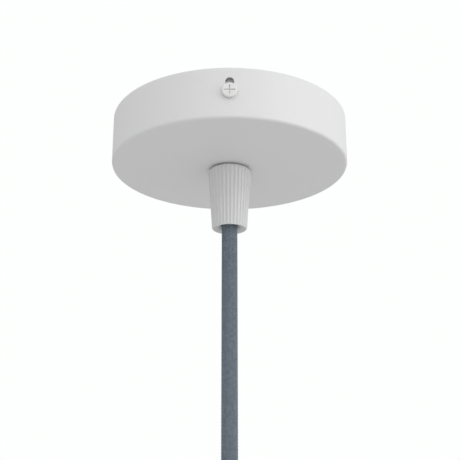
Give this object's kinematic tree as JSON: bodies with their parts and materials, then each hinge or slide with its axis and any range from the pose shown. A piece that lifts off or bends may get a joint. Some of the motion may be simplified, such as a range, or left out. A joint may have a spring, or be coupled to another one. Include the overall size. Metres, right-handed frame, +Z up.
{
  "type": "ceiling canopy",
  "caption": "Round white metal ceiling cover on a strap bracket, with a terminal block inside and a ribbed cord grip that holds a braided lamp cord.",
  "frame": {"origin": "centre of the bracket's flat top face, on the ceiling plane", "axes": "+Z up into the ceiling, the part hangs in -Z; Y runs along the bracket through both side screws, the screw in the picture at -Y; +X to the right of that screw"},
  "size_m": [0.12, 0.1236, 0.2008],
  "materials": {
    "coat": "satin white powder coat",
    "zinc": "bright zinc plate",
    "plastic": "satin white moulded nylon",
    "block": "natural white polyamide",
    "brass": "bare turned brass",
    "steel": "plain steel",
    "braid": "matt slate-blue braided textile",
    "sleeve": "matt shrink tube",
    "brown_insulation": "smooth PVC",
    "blue_insulation": "smooth PVC",
    "earth_insulation": "green PVC with a yellow stripe",
    "tin": "tinned copper"
  },
  "bodies": {
    "root": {"canopy_cover": "coat", "ceiling_bracket": "zinc", "side_screw_front": "coat", "side_screw_rear": "coat", "earth_screw": "zinc", "earth_washer": "zinc", "earth_ring_terminal": "tin", "grip_body": "plastic", "grip_cap": "plastic", "grip_washer": "zinc", "grip_locknut": "plastic", "terminal_block_body": "block", "block_screw": "zinc", "cord_inner": "braid", "cord_free": "braid", "cord_end_sleeve": "sleeve", "earth_lead": "earth_insulation", "ferrule_earth_lead": "tin", "terminal_clamp_live": "brass", "terminal_screw_live_cord": "steel", "terminal_screw_live_supply": "steel", "core_upper_live": "brown_insulation", "ferrule_upper_live": "tin", "core_lower_live": "brown_insulation", "ferrule_lower_live": "tin", "terminal_clamp_neutral": "brass", "terminal_screw_neutral_cord": "steel", "terminal_screw_neutral_supply": "steel", "core_upper_neutral": "blue_insulation", "ferrule_upper_neutral": "tin", "core_lower_neutral": "blue_insulation", "ferrule_lower_neutral": "tin", "terminal_clamp_earth": "brass", "terminal_screw_earth_cord": "steel", "terminal_screw_earth_supply": "steel", "core_upper_earth": "earth_insulation", "ferrule_upper_earth": "tin", "core_lower_earth": "earth_insulation", "ferrule_lower_earth": "tin"}
  },
  "joints": []
}
